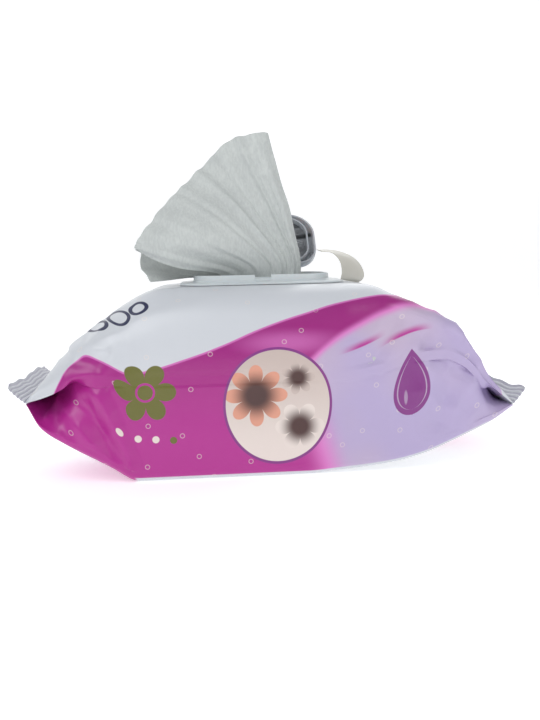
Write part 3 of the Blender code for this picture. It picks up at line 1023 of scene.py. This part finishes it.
@dataclass
class PulledWipe:
    """The wipe pulled up through the slot: a cornet whose pleats run together at the right of the slot.

    Each rib is a line of points from the slot to the free edge. The ribs go round from the lower front
    edge over the top to the right fold, and back down behind to the lower layer on the left.
    """

    flat: Point = (0.150, 0.200)
    thickness: float = 0.0004
    columns: int = 300
    rows: int = 92
    tucked_rows: int = 22
    finish: Nonwoven = Nonwoven("wipe_nonwoven")
    ribs: tuple = (
        ((-20, -8, 104.5), (-26, -11, 111.0), (-46, -17, 114.0), (-60, -17, 118.5), (-72.5, -12, 125.5)),
        ((-10, -8, 104.5), (-14, -12, 113.0), (-40, -22, 121.0), (-58, -22, 127.0), (-71, -15, 130.5)),
        ((-3, -8, 104.5), (-4, -12, 115.0), (-26, -24, 127.0), (-46, -22, 138.0), (-60, -14, 144.0)),
        ((5, -8, 104.5), (4, -11, 116.0), (-14, -20, 134.0), (-34, -16, 149.0), (-48.5, -8, 158.0)),
        ((11, -7, 104.5), (11, -8, 117.0), (-4, -10, 139.0), (-21, -6, 158.0), (-34.5, 0, 171.5)),
        ((16, -6, 104.5), (17, -6, 118.0), (6, -6, 142.0), (-7, -1, 166.0), (-19, 4, 187.8)),
        ((20, -4, 104.5), (20.5, -5, 118.0), (13, -6, 144.0), (3.5, -2, 170.0), (-4.5, 3, 192.8)),
        ((24, 0, 104.5), (23.5, -1, 118.0), (18.5, -1, 145.0), (11.5, 2, 171.0), (6.3, 5, 193.8)),
        ((20, 4, 104.5), (21.5, 4, 118.0), (14, 7, 144.0), (4, 9, 169.0), (-4, 10, 190.5)),
        ((12, 6, 104.5), (12, 8, 116.0), (-2, 14, 136.0), (-18, 14, 154.0), (-31, 12, 168.0)),
        ((2, 7, 104.5), (0, 10, 113.0), (-20, 17, 126.0), (-40, 16, 138.0), (-54, 12, 146.0)),
        ((-8, 7, 104.5), (-12, 10, 111.0), (-34, 15, 117.5), (-54, 12, 124.0), (-69, 6, 128.0)),
        ((-16, 6, 104.5), (-20, 8, 110.0), (-38, 10, 111.5), (-56, 7, 113.5), (-71, 0, 117.0)),
        ((-22, 2, 104.5), (-26, 2, 110.0), (-40, -2, 109.5), (-54, -6, 107.5), (-64.5, -9, 107.0)),
    )
    pleats: tuple = ((0.06, 0.9, 0.020), (0.15, -1.1, 0.018), (0.235, 1.3, 0.016), (0.30, -1.6, 0.018), (0.355, 1.2, 0.014), (0.42, -1.2, 0.016), (0.47, 0.8, 0.014), (0.60, 1.2, 0.03), (0.72, -1.4, 0.03), (0.84, 1.2, 0.025), (0.93, -1.0, 0.02))

    @staticmethod
    def spline(knots: np.ndarray, share: np.ndarray) -> np.ndarray:
        """Read a smooth curve through knots along their first axis."""
        last = len(knots) - 1
        place = clamp(share) * last
        index = np.minimum(place.astype(int), last - 1)
        t = (place - index).reshape(-1, *([1] * (knots.ndim - 1)))
        a, b, c, d = (knots[np.clip(index + k, 0, last)] for k in (-1, 0, 1, 2))
        return 0.5 * (2 * b + (c - a) * t + (2 * a - 5 * b + 4 * c - d) * t**2 + (3 * b - a - 3 * c + d) * t**3)

    def fan(self) -> np.ndarray:
        """The part outside the pack, as rows from the slot to the free edge."""
        knots = np.array(self.ribs, float) * MM
        ribs = self.spline(knots, np.linspace(0.0, 1.0, self.columns))
        across = np.linspace(0.0, 1.0, self.columns)
        sheet = np.swapaxes(ribs, 0, 1)
        points = self.spline(sheet, np.linspace(0.0, 1.0, self.rows))
        along = np.gradient(points, axis=0)
        side = np.gradient(points, axis=1)
        normal = np.cross(along, side)
        normal /= np.maximum(np.linalg.norm(normal, axis=2, keepdims=True), 1e-12)
        rise = np.linspace(0.0, 1.0, self.rows)[:, None]
        swell = smooth(rise / 0.25) * (1.0 - 0.45 * rise)
        push = np.zeros((self.rows, self.columns))
        for place, depth, width in self.pleats:
            tent = clamp(1.0 - np.abs(across - place) / width)[None, :]
            push += depth * 0.0013 * (0.6 * tent + 0.4 * smooth(tent)) * swell
        push += 0.0007 * np.sin(across * 2 * math.pi * 16.0)[None, :] * swell * (0.3 + 0.7 * rise)
        soft = np.array([noise.noise(Vector(p)) for p in (points.reshape(-1, 3) * 45.0)])
        push += 0.0011 * soft.reshape(push.shape) * smooth(rise / 0.3)
        flutter = np.sin(across * 2 * math.pi * 23.0)[None, :] * smooth((rise - 0.8) / 0.2)
        return points + normal * (push + 0.0004 * flutter)[..., None]

    def tucked(self, first: np.ndarray) -> np.ndarray:
        """The part still in the pack: down through the slot, out under the film, folded and back."""
        centre = first.mean(axis=0)
        out = first - centre
        out[:, 0] *= 0.8
        out[:, 2] = 0.0
        out /= np.maximum(np.linalg.norm(out, axis=1, keepdims=True), 1e-9)
        reach = np.minimum(0.052 / np.maximum(np.abs(out[:, 0]), 1e-6), 0.029 / np.maximum(np.abs(out[:, 1]), 1e-6))
        edge = centre + out * reach[:, None]
        rows = []
        for share in np.linspace(1.0, 0.0, self.tucked_rows, endpoint=False):
            fold = 1.0 - abs(2.0 * share - 1.0)
            spread = smooth(np.array(fold))
            row = mix(first, edge, spread)
            row[:, 2] = 0.1036 - 0.0012 * share + math.tan(TOP_TILT) * row[:, 1]
            rows.append(row)
        return np.array(rows)

    def build(self) -> bpy.types.Object:
        fan = self.fan()
        points = np.concatenate([self.tucked(fan[0]), fan])
        wipe = grid_object("pulled_wipe", points)
        shade(wipe, 70.0)
        solid = wipe.modifiers.new("thickness", "SOLIDIFY")
        solid.thickness = self.thickness
        solid.offset = 0.0
        settle(wipe)
        edit(wipe, lambda bm: bmesh.ops.recalc_face_normals(bm, faces=bm.faces))
        dress(wipe, self.finish.material(), Body.PACK)
        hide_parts("pulled_wipe")
        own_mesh(wipe)
        report(wipe)
        return wipe


# ---------------------------------------------------------------- frame and lid


@dataclass(frozen=True)
class Outline:
    """A rounded rectangle at one height of the frame."""

    width: float
    depth: float
    radius: float
    height: float
    front_radius: float = 0.0
    shift: float = 0.0

    def grown(self, by: float, height: float) -> "Outline":
        """The same outline, larger all round, at another height."""
        front = self.front_radius + by if self.front_radius else 0.0
        return Outline(self.width + 2 * by, self.depth + 2 * by, self.radius + by, height, front, self.shift)

    def loop(self, bm: bmesh.types.BMesh, steps: int = 12) -> list[bmesh.types.BMEdge]:
        """Add the outline to a mesh and return its edges."""
        made = bmesh.ops.create_circle(bm, segments=4 * (steps + 1), radius=1.0)
        sides = ((1, 1, 0), (-1, 1, 90), (-1, -1, 180), (1, -1, 270))
        for index, vert in enumerate(made["verts"]):
            side_x, side_y, start = sides[index // (steps + 1)]
            radius = self.front_radius if side_y < 0 and self.front_radius else self.radius
            angle = math.radians(start + 90.0 * (index % (steps + 1)) / steps)
            x = side_x * (self.width / 2 - radius) + radius * math.cos(angle)
            y = side_y * (self.depth / 2 - radius) + radius * math.sin(angle)
            vert.co = (x, y + self.shift, self.height)
        return list({edge for vert in made["verts"] for edge in vert.link_edges})


def loft(name: str, outlines: Sequence[Outline], closed: bool) -> bpy.types.Object:
    """Skin a row of outlines.

    Args:
        name: Name of the object.
        outlines: The outlines, in order along the skin.
        closed: True to join the last to the first, as on a ring, and False to cap both ends.

    Returns:
        The object, with its faces pointing out.
    """
    bm = bmesh.new()
    loops = [outline.loop(bm) for outline in outlines]
    pairs = list(zip(loops, loops[1:] + loops[:1])) if closed else list(zip(loops, loops[1:]))
    for first, second in pairs:
        bmesh.ops.bridge_loops(bm, edges=first + second)
    if not closed:
        bmesh.ops.holes_fill(bm, edges=[edge for edge in bm.edges if edge.is_boundary])
    bmesh.ops.recalc_face_normals(bm, faces=bm.faces)
    mesh = bpy.data.meshes.new(name)
    bm.to_mesh(mesh)
    bm.free()
    obj = bpy.data.objects.new(name, mesh)
    bpy.context.scene.collection.objects.link(obj)
    return obj


def block(name: str, low: Sequence[float], high: Sequence[float]) -> bpy.types.Object:
    """Make a box between two corners."""
    bm = bmesh.new()
    bmesh.ops.create_cube(bm, size=1.0)
    low, high = Vector(low), Vector(high)
    bmesh.ops.scale(bm, vec=high - low, verts=bm.verts)
    bmesh.ops.translate(bm, vec=(high + low) / 2, verts=bm.verts)
    mesh = bpy.data.meshes.new(name)
    bm.to_mesh(mesh)
    bm.free()
    obj = bpy.data.objects.new(name, mesh)
    bpy.context.scene.collection.objects.link(obj)
    return obj


def carve(target: bpy.types.Object, tool: bpy.types.Object, operation: str) -> None:
    """Join a tool to a piece or cut it away, and remove the tool."""
    modifier = target.modifiers.new(tool.name, "BOOLEAN")
    modifier.operation = operation
    modifier.solver = "EXACT"
    modifier.object = tool
    settle(target)
    bpy.data.objects.remove(tool, do_unlink=True)


def soften(obj: bpy.types.Object, width: float) -> None:
    """Round the sharp edges of a moulded piece a little."""
    bevel = obj.modifiers.new("rounding", "BEVEL")
    bevel.width = width
    bevel.segments = 2
    bevel.limit_method = "ANGLE"
    bevel.angle_limit = math.radians(40.0)
    settle(obj)
    shade(obj, 45.0)


@dataclass(frozen=True)
class DispenserPlane:
    """Where the frame sits: the leaning top of the film, and the hinge line on it."""

    top_z: float = 0.105
    hinge_y: float = 0.0232
    hinge_height: float = 0.0062

    def frame_place(self) -> Matrix:
        """Place of the frame."""
        return Matrix.Translation((0, 0, self.top_z)) @ Matrix.Rotation(TOP_TILT, 4, "X")

    def lid_place(self) -> Matrix:
        """Place of the open lid, which is made shut about its hinge line."""
        hinge = Matrix.Translation((0, self.hinge_y, self.hinge_height))
        return self.frame_place() @ hinge @ Matrix.Rotation(-LID_OPEN, 4, "X")


@dataclass
class LidFrame:
    """The moulded frame: flange, stepped rim with its latch notch, deck and window lip."""

    plane: DispenserPlane
    flange: Outline = Outline(0.096, 0.056, 0.016, 0.0003)
    rim: Outline = Outline(0.080, 0.044, 0.0135, 0.0012, 0.0155)
    window: Outline = Outline(0.062, 0.030, 0.009, 0.0003)
    rim_height: float = 0.0055
    finish: MouldedPlastic = MouldedPlastic("white_frame_plastic")

    def build(self) -> bpy.types.Object:
        """Make the frame, lay it on the film and put its finish on."""
        rim, window = self.rim, self.window
        frame = loft(
            "lid_frame",
            [
                self.flange,
                self.flange.grown(0.0, 0.0009),
                self.flange.grown(-0.0006, 0.0014),
                rim.grown(0.0012, 0.0016),
                rim.grown(0.0, 0.0024),
                rim.grown(-0.0002, self.rim_height - 0.0003),
                rim.grown(-0.0005, self.rim_height),
                rim.grown(-0.0012, self.rim_height),
                rim.grown(-0.0015, self.rim_height - 0.0003),
                rim.grown(-0.0015, 0.0023),
                window.grown(0.0014, 0.0023),
                window.grown(0.0011, 0.0038),
                window.grown(0.0002, 0.0040),
                window.grown(0.0, 0.0036),
                window,
            ],
            closed=True,
        )
        front = -rim.depth / 2
        carve(frame, block("notch", (-0.0047, front - 0.002, 0.0034), (0.0047, front + 0.0025, 0.008)), "DIFFERENCE")
        carve(frame, block("catch", (-0.0042, front - 0.0008, 0.0019), (0.0042, front + 0.0008, 0.0030)), "UNION")
        soften(frame, 0.00018)
        frame.data.transform(self.plane.frame_place())
        dress(frame, self.finish.material(), Body.PACK)
        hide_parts("lid_frame")
        report(frame)
        return frame


@dataclass
class FlipLid:
    """The open lid: a shallow tray with rounded shoulders, a seal ring and a thumb tab."""

    plane: DispenserPlane
    outline: Outline = Outline(0.0764, 0.0404, 0.0122, -0.0036, 0.0172, -0.0232)
    ring: Outline = Outline(0.0656, 0.0336, 0.0108, -0.0032, 0.0128, -0.0232)
    top: float = 0.0028
    wall: float = 0.0012
    # painted shade: the lid's white is drawn darker than the frame's, though lid and frame are one white plastic
    finish: MouldedPlastic = MouldedPlastic("white_lid_plastic", tint(166, 169, 174), tint(158, 161, 167))

    def build(self) -> bpy.types.Object:
        """Make the lid shut, open it to its stop and put its finish on."""
        edge, under = self.outline, self.top - self.wall
        lid = loft(
            "flip_lid",
            [
                edge.grown(-self.wall, under - 0.0008),
                edge.grown(-self.wall, edge.height + 0.0002),
                edge.grown(-self.wall + 0.0003, edge.height),
                edge.grown(-0.0002, edge.height),
                edge.grown(0.0, edge.height + 0.0003),
                edge.grown(0.0, self.top - 0.0018),
                edge.grown(-0.0004, self.top - 0.0008),
                edge.grown(-0.0011, self.top - 0.0002),
                edge.grown(-0.0022, self.top),
            ],
            closed=False,
        )
        ring = loft(
            "seal_ring",
            [
                self.ring.grown(0.0, under - 0.0003),
                self.ring,
                self.ring.grown(0.0009, self.ring.height),
                self.ring.grown(0.0012, under - 0.0003),
            ],
            closed=True,
        )
        hollow = loft("hollow", [edge.grown(-self.wall - 0.0006, under), edge.grown(-self.wall - 0.0001, under - 0.0009)], closed=False)
        carve(lid, hollow, "DIFFERENCE")
        carve(lid, ring, "UNION")
        front = edge.shift - edge.depth / 2
        tab = block("thumb_tab", (-0.0042, front - 0.0024, -0.0014), (0.0042, front + 0.0008, 0.0004))
        carve(lid, tab, "UNION")
        soften(lid, 0.00018)
        lid.data.transform(self.plane.lid_place())
        dress(lid, self.finish.material(), Body.LID)
        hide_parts("flip_lid")
        report(lid)
        return lid


@dataclass
class HingeWeb:
    """The thin living hinge that joins the frame's rim to the lid, made in its open place."""

    plane: DispenserPlane
    half_width: float = 0.026
    thickness: float = 0.0005
    finish: MouldedPlastic = MouldedPlastic("white_hinge_plastic")

    def build(self) -> bpy.types.Object:
        """Make the web in its open place and blend it across the joint."""
        frame, lid = self.plane.frame_place(), self.plane.lid_place()
        on_frame = [frame @ Vector((0, y, h)) for y, h in ((0.0212, 0.0052), (0.0222, 0.0056))]
        on_lid = [lid @ Vector((0, y, h)) for y, h in ((-0.0007, 0.0007), (-0.0032, 0.0008))]
        knots = np.array([*on_frame, frame @ Vector((0, 0.0232, 0.0062)), *on_lid])
        line = PulledWipe.spline(knots, np.linspace(0.0, 1.0, 17))
        xs = np.linspace(-self.half_width, self.half_width, 41)
        points = np.zeros((len(line), len(xs), 3))
        points[..., 0] = xs[None, :]
        points[..., 1:] = line[:, None, 1:]
        web = grid_object("hinge_web", points)
        solid = web.modifiers.new("thickness", "SOLIDIFY")
        solid.thickness = self.thickness
        solid.offset = 0.0
        settle(web)
        edit(web, lambda bm: bmesh.ops.recalc_face_normals(bm, faces=bm.faces))
        shade(web, 50.0)
        web.data.materials.append(self.finish.material())
        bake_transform(web)
        report(web)
        return web


@dataclass
class ResealLabel:
    """The peeled label: a stiff curl of film that leans on the lid, with its foot stuck beside the frame."""

    thickness: float = 0.0004
    rows: int = 72
    columns: int = 26
    finish: LabelFilm = field(default_factory=LabelFilm)
    near: tuple = (
        (47.0, -9, 105.4),
        (47.6, -9, 107.6),
        (48.0, -9, 110.5),
        (47.4, -9, 115.0),
        (45.2, -9, 119.0),
        (41.5, -9, 121.8),
        (36.0, -9, 122.4),
    )
    far: tuple = (
        (61.5, 9, 103.8),
        (64.6, 10, 106.2),
        (65.2, 11, 110.0),
        (62.4, 11, 115.8),
        (56.6, 11, 120.6),
        (47.0, 10, 123.8),
        (35.6, 9, 124.4),
    )

    def build(self) -> bpy.types.Object:
        """Make the label and put its finish on."""
        rise = np.linspace(0.0, 1.0, self.rows)
        near = PulledWipe.spline(np.array(self.near, float) * MM, rise)
        far = PulledWipe.spline(np.array(self.far, float) * MM, rise)
        across = np.linspace(0.0, 1.0, self.columns)[None, :, None]
        points = mix(near[:, None, :], far[:, None, :], across)
        bow = np.sin(across[..., 0] * math.pi) * 0.0010
        points[..., 0] += bow * np.sin(rise * math.pi)[:, None]
        points[..., 2] += 0.0003 * np.sin(rise * 40.0)[:, None] * smooth((0.15 - rise) / 0.15)[:, None]
        label = grid_object("reseal_label", points)
        solid = label.modifiers.new("thickness", "SOLIDIFY")
        solid.thickness = self.thickness
        solid.offset = 0.0
        settle(label)
        edit(label, lambda bm: bmesh.ops.recalc_face_normals(bm, faces=bm.faces))
        shade(label, 50.0)
        dress(label, self.finish.material(), Body.PACK)
        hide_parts("reseal_label")
        report(label)
        return label


# ---------------------------------------------------------------- studio


@dataclass
class Studio:
    """Pale floor, soft light and the camera."""

    lens: float = 35.0
    camera_place: tuple = (-0.0274, -0.4236, 0.1024)
    pitch: float = 5.97
    yaw: float = -4.3
    roll: float = -1.43

    def build(self) -> None:
        """Set up the whole studio."""
        self.floor()
        self.lights()
        self.camera()
        bpy.context.scene.view_settings.view_transform = "Standard"

    def floor(self) -> None:
        """A wide floor that sweeps up to a backdrop."""
        run = [(-3.0, 0.0), (1.2, 0.0)]
        run += [(1.2 + 0.6 * math.sin(a), 0.6 - 0.6 * math.cos(a)) for a in np.linspace(0.1, math.pi / 2, 14)]
        run.append((1.8, 4.0))
        xs = np.linspace(-4.0, 4.0, 9)
        points = np.zeros((len(run), len(xs), 3))
        points[..., 0] = xs[None, :]
        points[..., 1:] = np.array(run)[:, None, :]
        floor = grid_object("studio_floor", points)
        shade(floor, 60.0)
        g = Graph("pale_floor")
        g.feed(g.shader.inputs["Emission Color"], (1.0, 1.0, 1.0, 1.0))
        floor.data.materials.append(g.finish((0.9, 0.9, 0.9, 1.0), 0.8, emission_strength=0.42))

    def lights(self) -> None:
        """A soft key from the upper left, a fill from the right and an even surround."""
        world = bpy.data.worlds.new("soft_surround")
        world.use_nodes = True
        world.node_tree.nodes["Background"].inputs["Color"].default_value = (0.95, 0.97, 1.0, 1.0)
        world.node_tree.nodes["Background"].inputs["Strength"].default_value = 0.42
        bpy.context.scene.world = world
        for name, place, size, power in (
            ("key_light", (-0.55, -0.75, 1.05), 0.9, 7.0),
            ("fill_light", (0.8, -0.9, 0.5), 0.9, 2.2),
            ("back_light", (0.2, 0.9, 0.9), 0.8, 3.0),
        ):
            data = bpy.data.lights.new(name, "AREA")
            data.size = size
            data.energy = power
            lamp = bpy.data.objects.new(name, data)
            lamp.location = place
            aim = Vector((0, 0, 0.08)) - Vector(place)
            lamp.rotation_euler = aim.to_track_quat("-Z", "Y").to_euler()
            bpy.context.scene.collection.objects.link(lamp)

    def camera(self) -> None:
        """The camera at the front, slightly above the frame."""
        data = bpy.data.cameras.new("camera")
        data.sensor_width = 36.0
        data.sensor_fit = "AUTO"
        data.lens = self.lens
        data.clip_start = 0.01
        pitch, yaw, roll = (math.radians(a) for a in (self.pitch, self.yaw, self.roll))
        turn = Matrix.Rotation(yaw, 4, "Z") @ Matrix.Rotation(math.pi / 2 - pitch, 4, "X") @ Matrix.Rotation(roll, 4, "Z")
        camera = bpy.data.objects.new("camera", data)
        camera.matrix_world = Matrix.Translation(self.camera_place) @ turn
        bpy.context.scene.collection.objects.link(camera)
        bpy.context.scene.camera = camera


def main() -> None:
    """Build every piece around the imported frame."""
    logging.basicConfig(level=logging.INFO, format="%(name)s: %(message)s")
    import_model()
    Studio().build()
    low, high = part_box("film_wrapper")
    shape = FilmShape(half=(high.y - low.y) / 2)
    film = FilmWrapper(shape)
    film.build()
    film.build_seals()
    WipeStack(shape).build()
    PulledWipe().build()
    plane = DispenserPlane()
    LidFrame(plane).build()
    FlipLid(plane).build()
    HingeWeb(plane).build()
    ResealLabel().build()


if __name__ == "__main__":
    main()
